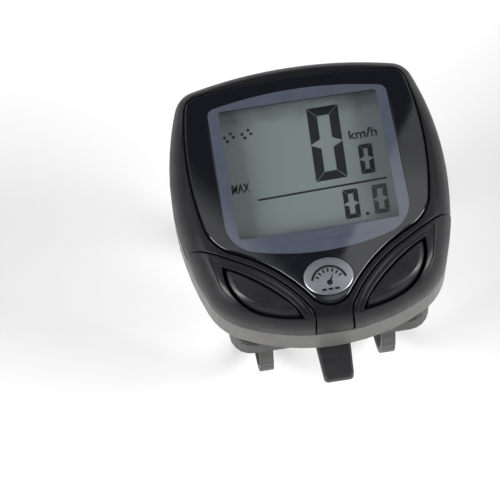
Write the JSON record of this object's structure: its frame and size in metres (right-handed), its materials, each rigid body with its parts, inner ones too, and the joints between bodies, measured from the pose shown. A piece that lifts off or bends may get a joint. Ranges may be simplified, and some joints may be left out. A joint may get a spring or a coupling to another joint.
{
  "type": "cycling computer",
  "caption": "Wireless handlebar cycling computer: domed head with display and leaf-shaped keys, sliding off a quick-release bracket strapped over the bar.",
  "frame": {"origin": "on the handlebar's axis, midway between the two cable ties", "axes": "+X to the rider's right along the bar, +Y away from the rider, +Z out of the display face"},
  "size_m": [0.0482, 0.0544, 0.0541],
  "materials": {
    "case_black": "satin moulded shell with a fine spark texture",
    "lens_black": "glossy hard-coated lens, printed black behind, with a clear window",
    "key_black": "satin",
    "case_grey": "satin moulded",
    "bracket_grey": "satin moulded nylon",
    "tie_grey": "semi-matt nylon",
    "tab_black": "matt moulded",
    "rubber": "matt",
    "badge_silver": "brushed foil under a clear dome, printed in black",
    "display": "grey-green polariser on glass",
    "board_green": "solder mask",
    "silicone": "matt",
    "inner_plastic": "matt",
    "spring_steel": "plated",
    "cell_steel": "finely brushed",
    "screw_steel": "plated",
    "ferrite": "matt",
    "copper": "enamelled wire"
  },
  "bodies": {
    "mount": {"bracket": "bracket_grey", "rubber_pad": "rubber", "left_tie": "tie_grey", "right_tie": "tie_grey"},
    "head": {"top_case": "case_black", "left_wing": "case_black", "right_wing": "case_black", "lens": "lens_black", "badge": "badge_silver", "bottom_case": "case_grey", "case_gasket": "silicone", "display_glass": "display", "display_holder": "inner_plastic", "zebra_front": "silicone", "zebra_rear": "silicone", "circuit_board": "board_green", "chip": "ferrite", "crystal": "cell_steel", "antenna_core": "ferrite", "antenna_coil": "copper", "left_dome": "spring_steel", "right_dome": "spring_steel", "coin_cell": "cell_steel", "contact_negative": "spring_steel", "contact_positive": "spring_steel", "case_screw_1": "screw_steel", "case_screw_2": "screw_steel", "case_screw_3": "screw_steel", "case_screw_4": "screw_steel", "case_screw_5": "screw_steel"},
    "left_button": {"left_key": "key_black"},
    "right_button": {"right_key": "key_black"},
    "battery_door": {"battery_cover": "case_grey", "cover_seal": "rubber"},
    "release": {"release_tab": "tab_black"}
  },
  "joints": [
    {"name": "head_slide", "type": "slide", "parent": "mount", "child": "head", "axis": [0, 1, 0], "range_m": [0, 0.03]},
    {"name": "left_press", "type": "slide", "parent": "head", "child": "left_button", "axis": [0, 0, -1], "range_m": [0, 0.0007], "stiffness_N_per_m": 1500, "springref_m": -0.0004, "deforming": ["left_dome"]},
    {"name": "right_press", "type": "slide", "parent": "head", "child": "right_button", "axis": [0, 0, -1], "range_m": [0, 0.0007], "stiffness_N_per_m": 1500, "springref_m": -0.0004, "deforming": ["right_dome"]},
    {"name": "battery_cover_turn", "type": "hinge", "parent": "head", "child": "battery_door", "pos_m": [0, 0, 0.0205], "axis": [0, 0, -1], "range_deg": [0, 50]},
    {"name": "release_press", "type": "hinge", "parent": "mount", "child": "release", "pos_m": [0, -0.0061, 0.0184], "axis": [1, 0, 0], "range_deg": [0, 7], "stiffness_Nm_per_rad": 0.9, "springref_deg": -1.15}
  ]
}
